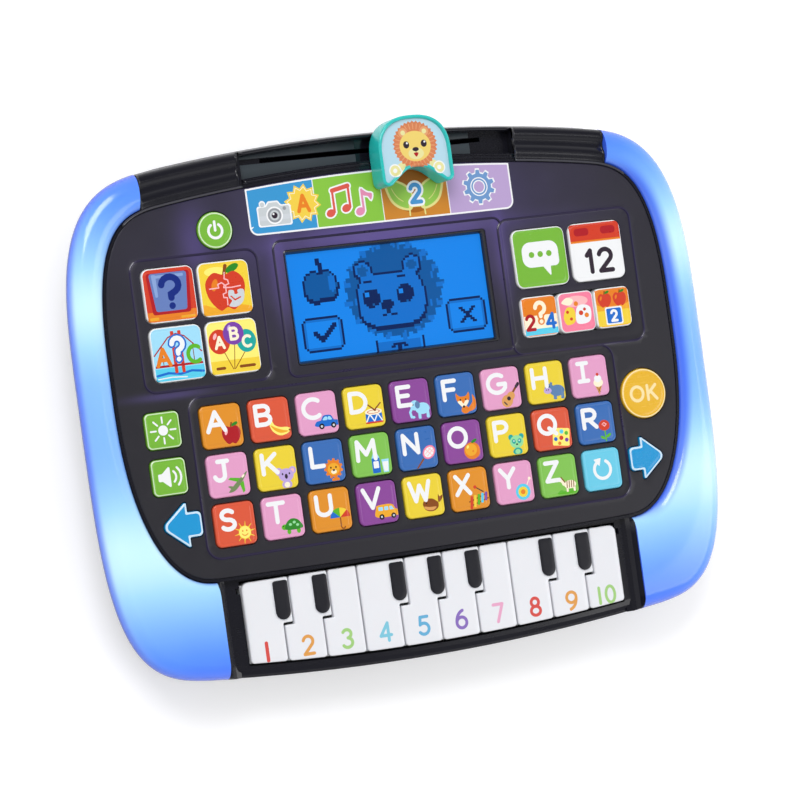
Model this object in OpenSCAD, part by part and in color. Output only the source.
// Toy learning tablet: one flat battery-powered slab with letter keys, app
// keys, a small screen, a ten-key piano and a mode slider on its top edge.
//
// The tablet lies on its back. X runs to the right and Y towards the top edge
// that carries the mode slider. Z comes out of the keypad face. The origin is
// on the flat underside, and every size is in millimetres.

/* [Body] */
// Width over the two light bands
body_w = 240.5; // [239.5:0.5:243]
// Top edge, measured from the origin
top_y = 93.9; // [93.5:0.1:94.5]
// Bottom edge, measured from the origin
bottom_y = 92.7; // [92.5:0.1:93.5]
// Height of the keypad face above the underside
face_z = 28; // [27:0.25:30]
// Height at which the rear case meets the front case
split_z = 12.4; // [12:0.1:12.8]
// Wall of the two case halves
wall = 2.2; // [1.8:0.1:2.4]

/* [Keypad face] */
// Width of the dark face panel
panel_w = 214.8; // [214:0.2:216]
// Thickness of the face panel
panel_t = 1.6; // [1.4:0.1:1.8]
// Gap between a key and its opening, each side
key_gap = 0.3; // [0.2:0.05:0.35]
// Thin rim of the front case round the face panel
rim_w = 1.0; // [0.8:0.1:1.2]

/* [Keys] */
// Width of a letter key
key_w = 14.9; // [14:0.1:15.1]
// Height of a letter key
key_h = 14.8; // [14:0.1:14.9]
// Column pitch of the letter keys
pitch_x = 17.85; // [17.5:0.05:18]
// Row pitch of the letter keys
pitch_y = 17.0; // [16.9:0.05:17.2]
// Height of a key above the face
key_proud = 0.7; // [0.5:0.1:1.2]
// Skirt that holds a key under the panel
skirt_w = 0.75; // [0.5:0.05:0.8]

/* [Piano] */
// Pitch of the white keys
piano_pitch = 14.7; // [14.5:0.05:14.75]
// Sideways step of a key beside a black pad
piano_jog = 3.6; // [3.3:0.1:3.8]
// Gap between two piano keys
piano_gap = 0.6; // [0.4:0.1:0.8]
// Height of the top of the white keys
piano_top = 26.8; // [26.4:0.1:27]
// Radius of the hinge rod
rod_r = 1.0; // [0.9:0.05:1.1]
// Running clearance of a key on the rod, on the radius
rod_clear = 0.05; // [0.03:0.01:0.1]

/* [Mode slider] */
// Position of the slider along X (third of four modes)
slider_x = 11; // [-38.4:0.1:38.4]
// Height of the top of the slider
slider_top = 38; // [36:0.5:40]
// Width of the slider at its foot
slider_w = 29; // [27:0.5:29]

/* [Screen] */
// Width of the screen window
lcd_w = 78.2; // [74:0.2:79]
// Height of the screen window
lcd_h = 40.6; // [38:0.2:41]

/* [Power] */
// Diameter of an AA cell
cell_d = 14.2; // [13.9:0.1:14.4]
// Length of an AA cell over its positive pole
cell_l = 50.2; // [49.2:0.1:50.4]

/* [Hidden] */

// Heights and wall thicknesses. Cutters overshoot the surfaces they open.
fit = 0.1;                        // gap between two fixed pieces that meet
panel_z = face_z - panel_t;       // ledge that carries the face panel
floor_z = face_z - 5.4;           // top of the tray that carries the keys
tray_t = 1.8;                     // thickness of that tray
tray_z = floor_z - tray_t;        // underside of that tray
skirt_z = panel_z - 0.1;          // top of the key skirts
skirt_t = 1.4;                    // thickness of the key skirts
sheet_t = 1.3;                    // rubber key sheet
key_top = face_z + key_proud;
cap_z = key_top - 0.4;            // shoulder of a key, below its crown
split_up = split_z + 1.6;         // top of the flange of the front case
band_t = 2.4;                     // wall of a light band
case_floor = 2.4;                 // height at which the speaker sits
band_cut_top = 90;                // X where a band ends on the top edge
band_cut_low = 80.7;              // X where a band ends on the bottom edge
far_x = 140;                      // past the sides of the body
far_y = 120;                      // past its top and bottom edges

// Screws
tap_r = 1.56;                     // screw hole in a boss
screw_r = 1.5;                    // screw shank
pass_r = 1.75;                    // hole that a shank passes through
head_z = 5.2;                     // underside of the heads of the case screws
head_t = 1.8;
screw_spots = [[-93.5, 54], [93.5, 54], [-97, 5], [97, 5], [-88, -38], [88, -38]];
low_spots = [[-76.8, -67], [78.4, -67]];
case_spots = concat(screw_spots, low_spots);
door_spot = [0, 68.6];

// Batteries
well_x = 28.6;                    // half of the inside length of the well
well_y0 = 16;
cell_pitch = 14.9;
well_y1 = well_y0 + 3 * cell_pitch;
cell_z = 2.6 + cell_d / 2;        // axis of the cells
cell_top = cell_z + cell_d / 2;
door_x = 32;                      // half width of the door
latch_x = 14;                     // latches stand at both sides of the middle

lcd_at = [-0.8, 35.2];
speaker_at = [60, -18];

// Colours
c_black = [0.06, 0.06, 0.07];
c_rear = [0.20, 0.20, 0.23];
c_panel = [0.19, 0.18, 0.21];
c_band = [0.42, 0.62, 0.98];
c_teal = [0.12, 0.76, 0.72];
c_white = [0.94, 0.94, 0.96];
c_green = [0.49, 0.76, 0.20];
c_amber = [0.98, 0.66, 0.12];
c_arrow = [0.18, 0.55, 0.86];
c_pcb = [0.10, 0.42, 0.22];
c_steel = [0.72, 0.72, 0.74];
c_rubber = [0.72, 0.73, 0.75];
c_backlight = [0.85, 0.87, 0.90];
c_glass = [0.07, 0.52, 0.93];
c_frame = [0.30, 0.30, 0.32];
c_cell = [0.16, 0.16, 0.18];
c_copper = [0.80, 0.58, 0.22];
key_orange = [0.93, 0.53, 0.16];
key_red = [0.90, 0.28, 0.16];
key_pink = [0.95, 0.50, 0.62];
key_yellow = [0.98, 0.80, 0.14];
key_purple = [0.50, 0.32, 0.68];
key_blue = [0.16, 0.48, 0.82];
key_green = [0.40, 0.74, 0.26];
key_sky = [0.36, 0.76, 0.90];
// a to z, then the repeat key
letter_colours = [
  key_orange, key_red, key_pink, key_yellow, key_purple, key_blue, key_pink,
  key_yellow, key_pink, key_pink, key_yellow, key_blue, key_green, key_blue,
  key_purple, key_yellow, key_red, key_blue, key_red, key_pink, key_orange,
  key_purple, key_yellow, key_orange, key_pink, key_green, key_sky];

// ---------------------------------------------------------------- outlines
// Both big outlines are bulged rectangles with soft corners. The list holds:
// half width, centre in Y, then for the upper and the lower edge its distance
// from that centre, the radius of its bulge and the power of its corner.
body_form = [body_w / 2, 12.2, top_y - 12.2, 617, 3.5, bottom_y + 12.2, 806, 4.1];
panel_form = [panel_w / 2, 10, top_y - 23, 570, 3.5, 64.8, 4000, 2.3];
corner_x = 80;                    // where the rounded corners start
edge_steps = 8;
corner_steps = 18;

function edge_y(x, reach, bulge) = reach - x * x / (2 * bulge);
// Point of a corner; part runs from 0 at the edge to 1 at the side
function corner_at(part, half_w, reach, bulge, power) =
  let (angle = 90 * (1 - pow(1 - part, 1.6)),
       x = corner_x + (half_w - corner_x) * pow(sin(angle), 2 / power))
  [x, edge_y(x, reach, bulge) * pow(max(0, cos(angle)), 2 / power)];
function half_edge(half_w, reach, bulge, power) = concat(
  [for (i = [0:edge_steps - 1]) let (x = corner_x * i / edge_steps) [x, edge_y(x, reach, bulge)]],
  [for (i = [0:corner_steps]) corner_at(i / corner_steps, half_w, reach, bulge, power)]);
function flip(points, side_x, side_y, mid_y = 0) =
  [for (p = points) [side_x * p[0], mid_y + side_y * p[1]]];
function back(points) = [for (i = [len(points) - 1:-1:0]) points[i]];
// A list without some of its first and last points
function trim(points, first = 1, last = 0) = [for (i = [first:len(points) - 1 - last]) points[i]];
// Closed outline of a form, moved inwards by inset (outwards when negative)
function outline(form, inset = 0) =
  let (half_w = form[0] - inset,
       mid_y = form[1],
       upper = half_edge(half_w, form[2] - inset, form[3], form[4]),
       lower = half_edge(half_w, form[5] - inset, form[6], form[7]))
  concat(flip(upper, 1, 1, mid_y), trim(back(flip(lower, 1, -1, mid_y))),
         trim(flip(lower, -1, -1, mid_y)), trim(back(flip(upper, -1, 1, mid_y)), 1, 1));

function arc(centre, r, from, to, steps) = [for (i = [0:steps])
  let (angle = from + (to - from) * i / steps) centre + r * [cos(angle), sin(angle)]];
// Rounded rectangle about its centre
function rounded(w, h, r) = [for (q = [0:3])
  let (side_x = (q == 0 || q == 3) ? 1 : -1, side_y = q < 2 ? 1 : -1)
  for (p = arc([side_x * (w / 2 - r), side_y * (h / 2 - r)], r, 90 * q, 90 * q + 90, 5)) p];
function round_pts(r, steps = 48) =
  [for (i = [0:steps - 1]) [r * cos(360 * i / steps), r * sin(360 * i / steps)]];
// Arrow that points to -X, grown on every side
function arrow_pts(w, h, grow) =
  let (tip_x = w / 2 + grow,
       head_y = h / 2 + grow,
       tail_y = 0.285 * h + grow,
       head_x = w * 0.17 + grow,
       lower = [[-tip_x, -1], [head_x - 1.6, -head_y], [head_x, -head_y],
                [head_x, -tail_y], [tip_x, -tail_y]])
  concat(lower, flip(back(lower), 1, -1));

// ------------------------------------------------------------ basic shapes
// Boxes and rectangles take a [from, to] range for each axis
function about(middle, half) = [middle - half, middle + half];
module box(x, y, z)
  translate([x[0], y[0], z[0]]) cube([x[1] - x[0], y[1] - y[0], z[1] - z[0]]);
module rect(x, y) translate([x[0], y[0]]) square([x[1] - x[0], y[1] - y[0]]);
module plate(z0, z1) translate([0, 0, z0]) linear_extrude(z1 - z0) children();
module at(spot, z = 0) translate([spot[0], spot[1], z]) children();
module boss(spot, r, z0, z1) at(spot, z0) cylinder(r = r, h = z1 - z0, $fn = 12);

// One closed body through the outlines of a form; each layer is [z, inset]
module loft(form, layers) {
  rings = [for (l = layers) [for (p = outline(form, l[1])) [p[0], p[1], l[0]]]];
  n = len(rings[0]);
  m = len(rings);
  polyhedron(points = [for (ring = rings) for (p = ring) p], faces = concat(
    [[for (j = [n - 1:-1:0]) j], [for (j = [0:n - 1]) (m - 1) * n + j]],
    [for (i = [0:m - 2]) for (j = [0:n - 1]) let (k = (j + 1) % n)
      [i * n + k, (i + 1) * n + k, (i + 1) * n + j]],
    [for (i = [0:m - 2]) for (j = [0:n - 1]) let (k = (j + 1) % n)
      [i * n + k, (i + 1) * n + j, i * n + j]]));
}
module dome(layers, inset = 0, lift = 0)
  loft(body_form, [for (l = layers) [l[0] + lift, l[1] + inset]]);

// Profiles of the outside from bottom to top, each layer [z, inset]
rear_layers = [[0, 19.5], [0.7, 17], [1.8, 15], [3.4, 13], [5.4, 11.1], [7.8, 9.2],
               [10.2, 7.6], [split_z, 6.3]];
band_layers = [[split_up, 5.4], [18, 3.0], [face_z - 5.6, 1.0], [face_z - 2.4, 0],
               [face_z - 0.4, 0.5], [face_z + 1, 1.4], [face_z + 2.1, 3.0],
               [face_z + 2.8, 5.0], [face_z + 3, 7.4]];
bar_layers = [[split_z, 6.3], [18, 3.0], [22, 1.1], [face_z - 2.4, 0],
              [face_z - 0.9, 0.5], [face_z - 0.1, 1.7], [face_z + 0.1, 3.2]];
deck_layers = [[split_z, 6.3], [18, 2.6], [21, 0.8], [23, 0.1], [24.4, 1.1],
               [25.2, 2.6], [25.4, 4.6]];
// How bands and deck shoulders roll down to the rim: [z, distance from it]
roll_layers = [[face_z - 0.2, 0.1], [face_z + 1.4, 1.0], [face_z + 2.4, 2.3],
               [face_z + 3.1, 4.6]];

// ------------------------------------------------------------- key layout
// shape, width, height, corner radius, x, y, colour
k_power = ["round", 12.8, 12.8, 6.4, -64.0, 65.0, c_green];
k_bright = ["square", 12.6, 12.6, 2, -92.6, -1.0, c_green];
k_volume = ["square", 12.6, 12.6, 2, -92.6, -17.0, c_green];
k_left = ["left", 14.9, 15.3, 0, -90.5, -34.1, c_arrow];
k_right = ["right", 14.9, 15.3, 0, 90.6, -34.2, c_arrow];
k_ok = ["round", 18.2, 18.2, 9.1, 92.5, -10.9, c_amber];
left_apps = [
  ["square", 18.8, 18.8, 2.6, -83.5, 44.8, [0.86, 0.24, 0.22]],
  ["square", 18.8, 18.8, 2.6, -63.2, 44.8, key_yellow],
  ["square", 18.8, 18.8, 2.6, -83.5, 24.4, [0.55, 0.82, 0.92]],
  ["square", 18.8, 18.8, 2.6, -63.2, 24.4, key_yellow]];
big_apps = [
  ["square", 21.2, 21.3, 2.8, 58.4, 42.8, c_green],
  ["square", 21.2, 21.3, 2.8, 81.4, 42.8, c_white]];
small_apps = [
  ["square", 14.3, 14.6, 2.2, 55.0, 21.7, [0.56, 0.80, 0.86]],
  ["square", 14.3, 14.6, 2.2, 69.9, 21.7, [0.92, 0.52, 0.52]],
  ["square", 14.3, 14.6, 2.2, 84.8, 21.7, [0.96, 0.62, 0.18]]];
letter_columns = 9;
letters_x = -4 * pitch_x;         // first column
letters_y = -2.2;                 // first row
letters = [for (i = [0:26]) ["square", key_w, key_h, 2,
  letters_x + pitch_x * (i % letter_columns),
  letters_y - pitch_y * floor(i / letter_columns), letter_colours[i]]];
controls = [k_power, k_bright, k_volume, k_left, k_right, k_ok];

// Plan of a key or of its opening
module key_plan(key, grow = 0) {
  shape = key[0];
  w = key[1];
  h = key[2];
  translate([key[4], key[5]]) {
    if (shape == "square")
      polygon(rounded(w + 2 * grow, h + 2 * grow, max(0.4, key[3] + grow)));
    if (shape == "round") polygon(round_pts(w / 2 + grow));
    if (shape == "left") polygon(arrow_pts(w, h, grow));
    if (shape == "right") mirror([1, 0, 0]) polygon(arrow_pts(w, h, grow));
  }
}

// One key cap: a skirt under the panel, a shank through it and a raised crown
module key_cap(key, skirt = skirt_w) color(key[6]) {
  plate(skirt_z - skirt_t, skirt_z) key_plan(key, skirt);
  plate(skirt_z - 0.5, cap_z) key_plan(key);
  plate(cap_z - 0.5, key_top) key_plan(key, -0.9);
}

module left_app_keys() for (key = left_apps) key_cap(key, skirt = 0.6);

// The small keys stand close together, so their skirts are narrow
module right_app_keys() {
  for (key = big_apps) key_cap(key);
  for (key = small_apps) key_cap(key, skirt = 0.1);
}

// --------------------------------------------------- slider groove and slot
slider_run = 38.4;                // travel to each side of the middle
channel_z = face_z - 3.6;         // floor of the groove
channel_x = [-51.6, 53.5];
under_z = channel_z - wall;       // underside of the groove floor
slot_y = 87.8;
slot_half = 0.8;
stem_half = 4;                    // half width of the stem along X

// The groove of the slider; it follows the arc of the top edge
module channel_plan(grow = 0) difference() {
  intersection() {
    polygon(outline(body_form, 2.0 - grow));
    rect([channel_x[0] - grow, channel_x[1] + grow], [60, far_y]);
  }
  polygon(outline(panel_form, -(3.0 - grow)));
}

// ------------------------------------------------------------ piano layout
// Front means the end of a key at the bottom edge; the hinge is at its back.
piano_x0 = 1 - 5 * piano_pitch;
piano_left = piano_x0 + 0.6;      // the first key is a little narrower
piano_x1 = piano_x0 + 10 * piano_pitch;
piano_back = -56.7;
rod_y = -59.3;
rod_z = 19.2;
rod_over = 1.45;                  // rod beyond the keys at each end
deck_floor = 16.4;
// Layers of the piano well: from z, to z, inset from the body outline
piano_well_layers = [[deck_floor, 19.5, 5.6], [19.4, face_z, 4.2]];
piano_pads = [1, 2, 4, 5, 6, 8, 9]; // keys with a black pad at their right
piano_step_y = -72.9;
piano_step_gap = 0.9;             // a pressed key tips forwards, so this gap is wider

function has_pad(i) = len([for (p = piano_pads) if (p == i) 1]) > 0;
// Boundary after key i, near the front and near the hinge
function piano_cut(i) = piano_x0 + piano_pitch * i;
function piano_back_cut(i) = piano_cut(i) + (has_pad(i) ? piano_jog : 0);
function piano_front_y(x) = -(bottom_y - 5.1 - x * x / 1728);

// Cylinder on the axis of the hinge rod
module hinge_cylinder(x0, x1, r)
  translate([x0, rod_y, rod_z]) rotate([0, 90, 0]) cylinder(r = r, h = x1 - x0);

// -------------------------------------------------------------- front case
// Section [x, z] of a shoulder between the deck and a band
shoulder_section = [
  [75.2, split_up], [band_cut_low - fit / 2, split_up],
  [band_cut_low - fit / 2, face_z + 2.3], [79.7, face_z + 0.1],
  [78.6, 26.5], [77.2, 25.4], [75.2, 24.9]];

// Room above the rim: bands and deck shoulders roll down to it
module roll_down() loft(panel_form, [for (l = roll_layers) [l[0], -(rim_w + l[1])]]);

// Shoulder that rises from the deck to the band at one side (-1 or 1)
module deck_shoulder(side) intersection() {
  difference() {
    dome(band_layers);
    roll_down();
  }
  scale([side, 1, 1]) translate([0, -40, 0]) rotate([90, 0, 0]) linear_extrude(80)
    polygon(shoulder_section);
}

// Flange, rim, top bar and deck, all solid
module front_solid() {
  plate(split_z, split_up) polygon(outline(body_form, 6.4));
  plate(split_z, face_z) polygon(outline(panel_form, -rim_w));
  intersection() {
    dome(bar_layers);
    plate(split_z, face_z + 2) rect(about(0, band_cut_top - fit / 2), [40, far_y]);
  }
  intersection() {
    dome(deck_layers);
    plate(split_z, face_z) rect(about(0, band_cut_low - fit / 2), [-far_y, -30]);
  }
  for (side = [-1, 1]) deck_shoulder(side);
}

// The hollow top bar leaves a tub under the slider groove
module top_bar_hollow() difference() {
  intersection() {
    dome(bar_layers, wall, -wall);
    plate(split_z - 1, face_z) rect(about(0, band_cut_top - wall), [60, far_y]);
  }
  plate(split_z - 2, face_z + 5) polygon(outline(panel_form, -rim_w));
  plate(under_z, face_z + 5) channel_plan(1.4);
}

// Piano well with the rod slots, and the space below its floor
module piano_hollows() {
  for (l = piano_well_layers) plate(l[0], l[1]) intersection() {
    polygon(outline(body_form, l[2]));
    rect([piano_left - 0.1, piano_x1 + 0.1], [-far_y, piano_back + 0.7]);
  }
  // slots for the ends of the rod, open at the top
  for (x = [piano_left - 1.5, piano_x1 - 0.2])
    box([x, x + 1.7], about(rod_y, rod_r + 0.03), [rod_z - rod_r - 0.03, face_z]);
  plate(split_z - 1, deck_floor - 2) intersection() {
    polygon(outline(body_form, 8.6));
    rect([piano_x0 + 1, piano_x1 - 1], [-far_y, piano_back - 1]);
  }
}

// Front case: flange, rim and key tray, top bar with the slider groove, and
// the sunk deck that holds the piano keys
module front_case() color(c_black) {
  difference() {
    front_solid();
    // room for the board and the battery well, below the key tray
    plate(split_z - 1, tray_z) polygon(outline(panel_form, wall));
    // key pocket above the tray, then the recess of the face panel
    plate(floor_z, face_z + 5) polygon(outline(panel_form, 2));
    plate(panel_z, face_z + 5) polygon(outline(panel_form));
    top_bar_hollow();
    plate(channel_z, face_z + 5) channel_plan();
    box(about(0, slider_run + stem_half + 0.3), about(slot_y, slot_half), [channel_z - 5, face_z]);
    piano_hollows();
    for (spot = low_spots) boss(spot, tap_r, split_z - 1, 20);
    // cable ways from the bands into the case
    for (side = [-1, 1])
      box([side * panel_w / 2 - 6, side * panel_w / 2 + 4.4], about(10, 3),
          [split_z - 1, split_z + 3]);
  }
  for (spot = screw_spots) difference() {
    boss(spot, 3.4, split_z, tray_z + 0.2);
    boss(spot, tap_r, split_z - 1, tray_z - 0.6);
  }
}

// --------------------------------------------------------------- rear case
module rear_solid() {
  difference() {
    dome(rear_layers);
    dome(rear_layers, wall, wall + 0.2);
  }
  // battery well
  box(about(0, well_x + 1.8), [well_y0 - 1.8, well_y1 + 1.8], [0.5, cell_top + 1.6]);
  for (spot = case_spots) boss(spot, 4.8, 1, split_z);
  boss(door_spot, 6.2, 1, 11);
  // ring round the speaker
  at(speaker_at, 1) difference() {
    cylinder(r = 22.2, h = 4.4);
    translate([0, 0, -1]) cylinder(r = 20.3, h = 6);
  }
}

// A hole in the middle and three rings of six, twelve and eighteen
module speaker_grille() for (ring = [0:3]) for (i = [0:max(0, ring * 6 - 1)]) {
  angle = 60 * i / max(1, ring);
  at(speaker_at + ring * 4.2 * [cos(angle), sin(angle)], -1) cylinder(r = 1.1, h = 5);
}

// Recess of the battery door, its latch slots and its screw hole
module door_recess() {
  plate(-1, 1.8) polygon(door_pts(0.25));
  for (side = [-1, 1]) {
    box(about(side * latch_x, 4.4), [well_y0 - 4.6, well_y0 + 1], [2.4, 3.8]);
    box(about(side * latch_x, 4.4), [well_y0 - 0.4, well_y0 + 1], [1, 3.8]);
  }
  at(door_spot, -1) cylinder(r = 4.6, h = 5.4);
  at(door_spot) cylinder(r = tap_r, h = 10);
}

// Rear case: a tub with the battery well, the screw bosses, the speaker
// grille and the recess of the battery door
module rear_case() color(c_rear) difference() {
  rear_solid();
  box(about(0, well_x), [well_y0, well_y1], [-1, cell_top + 0.4]);
  door_recess();
  // screw heads sit deep in the underside
  for (spot = case_spots) at(spot, -1) {
    cylinder(r = 3.3, h = head_z + head_t + 1);
    cylinder(r = pass_r, h = 20);
  }
  speaker_grille();
  // wall openings for the leads of the battery contacts
  for (side = [-1, 1]) box(about(side * (well_x + 1), 1.4), [35, 41], [12, 14]);
}

// ------------------------------------------------------------ battery door
// Right half of the raised end of the door, as parts of its width and height
door_arch = [[1, 0], [1, 0.6], [0.62, 0.82], [0.3, 1]];
function door_pts(grow = 0) =
  let (base = rounded(2 * door_x + 2 * grow, well_y1 - well_y0 + 6 + 2 * grow, 3 + grow),
       arch = [for (p = door_arch)
         [p[0] * (door_x + grow), well_y1 + 3 + (10 + grow) * (p[1] - 0.1)]])
  concat([for (p = base) if (p[1] < 0) [p[0], p[1] + (well_y0 + well_y1) / 2]],
         arch, flip(back(arch), -1, 1));

// Battery door with two latch hooks, one screw hole and six grip grooves
module battery_door() color(c_rear) difference() {
  union() {
    plate(0, 1.6) polygon(door_pts());
    at(door_spot) cylinder(r = 4.2, h = 4.2);
    for (side = [-1, 1]) {
      box(about(side * latch_x, 4), [well_y0 - 0.1, well_y0 + 0.8], [1.4, 3.6]);
      box(about(side * latch_x, 4), [well_y0 - 3.2, well_y0 + 0.8], [2.5, 3.6]);
    }
  }
  at(door_spot, -1) {
    cylinder(r = 3.0, h = 3.2);
    cylinder(r = pass_r, h = 9);
  }
  for (i = [0:5]) box([-9, 9], about(well_y0 + 2.5 + 2.4 * i, 0.5), [-1, 0.35]);
}

// --------------------------------------------------- face panel and bands
// The small app keys stand side by side in one opening
module small_apps_opening() {
  first = small_apps[0];
  last = small_apps[2];
  translate([(first[4] + last[4]) / 2, first[5]])
    polygon(rounded(last[4] - first[4] + first[1] + 2 * key_gap, first[2] + 2 * key_gap, 2.4));
}

// Face panel: the dark plate with the openings for the keys and the screen
module face_panel() color(c_panel) plate(panel_z, face_z) difference() {
  polygon(outline(panel_form, fit));
  for (key = concat(controls, left_apps, big_apps, letters)) key_plan(key, key_gap);
  small_apps_opening();
  at(lcd_at) polygon(rounded(lcd_w, lcd_h, 1.2));
}

// Plan of the region of a band, moved away from its cut ends by inset
module band_region(side, inset) scale([side, 1])
  polygon([[band_cut_low + inset, -far_y], [far_x, -far_y], [far_x, far_y],
           [band_cut_top + inset, far_y], [band_cut_top + inset, -20],
           [band_cut_low + inset, -20]]);

// Light band: a shell that wraps one side (-1 or 1), from the top bar to the deck
module light_band(side) color(c_band) difference() {
  intersection() {
    dome(band_layers);
    plate(split_up, face_z + 4) band_region(side, fit / 2);
  }
  intersection() {
    dome(band_layers, band_t + 0.5, -band_t);
    plate(split_up - 3, face_z + 2) band_region(side, band_t);
  }
  plate(split_up - 1, face_z + 5) polygon(outline(panel_form, -(rim_w + fit)));
  roll_down();
}

// ------------------------------------------------------------- mode slider
// Plan of the slider cap: an arched crown on two rounded legs, with a curved
// notch between them
function slider_pts(inset = 0) =
  let (half_w = slider_w / 2 - 0.6,
       crown_y = 84.1,
       leg_r = 2.4,
       notch_r = 9.3,
       leg = [half_w - leg_r, 75.5],
       notch = [0, 69.8],
       // direction in which a leg touches the notch
       touch = atan2(leg[1] - notch[1], leg[0]) + acos((leg_r + notch_r) / norm(leg - notch)))
  concat(
    [for (i = [0:28]) let (angle = 180 * i / 28)
      [(half_w - inset) * sign(cos(angle)) * pow(abs(cos(angle)), 0.8),
       crown_y + (13.4 - inset) * pow(max(0, sin(angle)), 0.8)]],
    arc([-leg[0], leg[1]], leg_r - inset, 180, 360 - touch, 6),
    arc(notch, notch_r + inset, 180 - touch, touch, 8),
    arc(leg, leg_r - inset, 180 + touch, 360, 6));

// Mode slider: a cap with a dished top above the top bar, a stem through the
// slot and a foot that keeps it in the groove
module mode_slider() translate([slider_x, 0, 0]) color(c_teal) {
  plate(face_z + 0.7, slider_top - 1) polygon(slider_pts());
  difference() {
    plate(slider_top - 1.5, slider_top) polygon(slider_pts(0.5));
    plate(slider_top - 1, slider_top + 1) polygon(slider_pts(1.7));
  }
  box(about(0, stem_half), about(slot_y, slot_half - fit), [under_z - 1.6, face_z + 1]);
  box(about(0, 5.6), [86.3, 88.9], [under_z - 1.8, under_z - 0.2]);
}

// ------------------------------------------------------------------- piano
// Black pad on the boundary after key i, with a round front end
module piano_pad(i) color(c_black) translate([piano_cut(i), -64.4])
  plate(piano_top - 0.5, piano_top + 0.7) polygon(concat(
    arc([0, -4.1], 2.9, 180, 360, 8),
    arc([1.9, 5.8], 1, 0, 90, 4),
    arc([-1.9, 5.8], 1, 90, 180, 4)));

// One white key, numbered from 1 at the left, with the pad at its right
module piano_key(i) {
  half_gap = piano_gap / 2;
  front_x0 = (i == 1 ? piano_left : piano_cut(i - 1)) + half_gap;
  front_x1 = piano_cut(i) - half_gap;
  back_x0 = i == 1 ? front_x0 : piano_back_cut(i - 1) + half_gap;
  back_x1 = piano_back_cut(i) - half_gap;
  step = about(piano_step_y, piano_step_gap / 2);
  front = [for (j = [0:6]) let (x = front_x0 + (front_x1 - front_x0) * j / 6)
    [x, piano_front_y(x)]];
  color(c_white) difference() {
    union() {
      plate(piano_top - 2.6, piano_top) polygon(concat(
        [[back_x1, piano_back], [back_x0, piano_back]],
        has_pad(i - 1) ? [[back_x0, step[0]], [front_x0, step[0]]] : [],
        front,
        has_pad(i) ? [[front_x1, step[1]], [back_x1, step[1]]] : []));
      // front lip, then the peg over the rubber strip
      plate(piano_top - 5.2, piano_top - 1)
        polygon(concat(front, flip(back(front), 1, 1, 1.4)));
      box(about((front_x0 + front_x1) / 2, 1.6), [-77, -75], [20.6, piano_top - 1]);
      box([back_x0, back_x1], about(rod_y, 1.7), [rod_z, piano_top - 1]);
      hinge_cylinder(back_x0, back_x1, 2.3);
    }
    hinge_cylinder(back_x0 - 1, back_x1 + 1, rod_r + rod_clear);
  }
  if (has_pad(i)) piano_pad(i);
}

// Steel rod on which the ten piano keys turn
module piano_hinge_rod() color(c_steel)
  hinge_cylinder(piano_left - rod_over, piano_x1 + rod_over, rod_r);

// ------------------------------------------------------------- electronics
// Screen: backlight block with its frame, and the glass on top
module lcd_module() at(lcd_at) {
  color(c_backlight) plate(floor_z, floor_z + 2) polygon(rounded(lcd_w + 5, lcd_h + 4.4, 1));
  color(c_glass) plate(floor_z + 2, face_z - 2.2) polygon(rounded(lcd_w + 1, lcd_h + 1, 0.8));
}

// Rubber key sheet below the keypad, and the strip below the piano
module key_membrane() color(c_rubber) {
  plate(floor_z, floor_z + sheet_t) difference() {
    polygon(outline(panel_form, 4));
    at(lcd_at) polygon(rounded(lcd_w + 7, lcd_h + 6.4, 1));
  }
  box([piano_x0 + 2, piano_x1 - 2], [-79, -73], [deck_floor, 19.2]);
}

// The board is a U that leaves room for the battery well
board_pts = [[-84, -30], [-84, 50], [-40, 50], [-40, 13], [34, 13], [34, 50], [84, 50], [84, -30]];

// Main board with its chip, and the two strips that light the bands
module main_board() {
  color(c_pcb) plate(tray_z - 2, tray_z - 0.4) polygon(board_pts);
  color(c_black) plate(tray_z - 3.4, tray_z - 1.9)
    translate([-18, -10]) polygon(rounded(22, 18, 4));
  for (side = [-1, 1]) color(c_white) translate([side * 110.6, 9, split_up]) {
    box(about(0, 1.4), about(0, 34), [0, 1]);
    for (i = [-3:3]) box(about(0, 1.2), about(9.6 * i, 1.2), [0.9, 1.9]);
  }
}

// Sections of the speaker, [radius, z]
speaker_frame = [
  [16.5, 0], [20, 0], [20, 1.2], [17.8, 1.4], [10.5, 6.4], [10.5, 8],
  [0, 8], [0, 7], [9.4, 7], [9.4, 5.8], [16.5, 1]];
speaker_cone = [
  [0, 2.6], [4, 2.0], [5, 3.4], [14.5, 0.9], [16.3, 1.0], [16.3, 0.5],
  [14.5, 0.4], [5, 2.8], [3.4, 1.4], [0, 2.0]];

// Loudspeaker: dished frame with its cone, and the magnet behind it
module speaker() at(speaker_at, case_floor) {
  color(c_frame) rotate_extrude() polygon(speaker_frame);
  color(c_steel) translate([0, 0, 8]) cylinder(r = 9.5, h = 4.4);
  color(c_black) rotate_extrude() polygon(speaker_cone);
}

// --------------------------------------------------- batteries and contacts
function cell_y(i) = well_y0 + cell_pitch * (i + 0.5);

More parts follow.
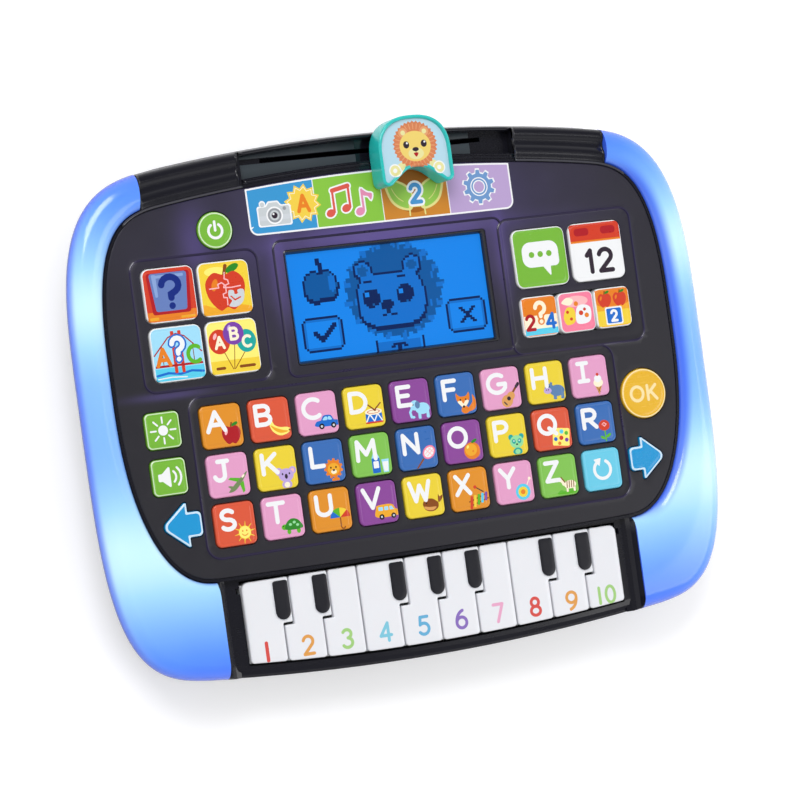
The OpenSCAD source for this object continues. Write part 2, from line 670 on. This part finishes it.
// Three cells; the middle one points to -X
module batteries() for (i = [0:2]) {
  side = i == 1 ? -1 : 1;
  translate([-side * (cell_l / 2), cell_y(i), cell_z]) rotate([0, side * 90, 0]) {
    color(c_cell) cylinder(r = cell_d / 2, h = 34);
    color(c_copper) translate([0, 0, 34]) cylinder(r = cell_d / 2, h = cell_l - 35.2);
    color(c_steel) translate([0, 0, cell_l - 1.5]) cylinder(r = 2.7, h = 1.5);
  }
}

// Contact on the +X wall: a plate with a hollow spring cone or a flat button
module contact(minus) {
  reach = well_x - 0.15 - cell_l / 2 - 0.4;
  box([-0.45, 0], about(0, 6), about(0, 5));
  translate([-0.4, 0, 0]) rotate([0, -90, 0])
    if (minus) difference() {
      cylinder(r1 = 4.6, r2 = 3.2, h = reach);
      translate([0, 0, -1]) cylinder(r = 2.4, h = 9);
    } else cylinder(r = 3, h = reach);
}
module battery_contacts() color(c_steel) for (i = [0:2]) for (side = [-1, 1])
  translate([side * (well_x - 0.05), cell_y(i), cell_z]) scale([side, 1, 1])
    contact(minus = (i == 1) ? side > 0 : side < 0);

// ------------------------------------------------------------------ screws
// One cross-head screw with its head at z0, pointing up
module screw(spot, z0, length) at(spot, z0) difference() {
  union() {
    cylinder(r = 2.8, h = head_t);
    cylinder(r = screw_r, h = length);
  }
  for (angle = [0, 90]) rotate(angle) box(about(0, 1.6), about(0, 0.35), [-1, 1]);
}
module screws() color(c_steel) {
  for (spot = screw_spots) screw(spot, head_z, tray_z - 6.4);
  for (spot = low_spots) screw(spot, head_z, 14);
  screw(door_spot, 0.3, 9);
}

// -------------------------------------------------------------------- draw
front_case();
rear_case();
face_panel();
light_band(-1);  // left_light_band
light_band(1);  // right_light_band
mode_slider();
for (i = [1:10]) piano_key(i);
key_cap(k_power);  // power_button
key_cap(k_bright);  // brightness_button
key_cap(k_volume);  // volume_button
key_cap(k_left);  // left_arrow_button
key_cap(k_right);  // right_arrow_button
key_cap(k_ok);  // ok_button
left_app_keys();
right_app_keys();
for (i = [0:25])
  key_cap(letters[i]);
key_cap(letters[26]);  // repeat_key
lcd_module();
key_membrane();
main_board();
speaker();
battery_door();
batteries();
battery_contacts();
screws();
piano_hinge_rod();
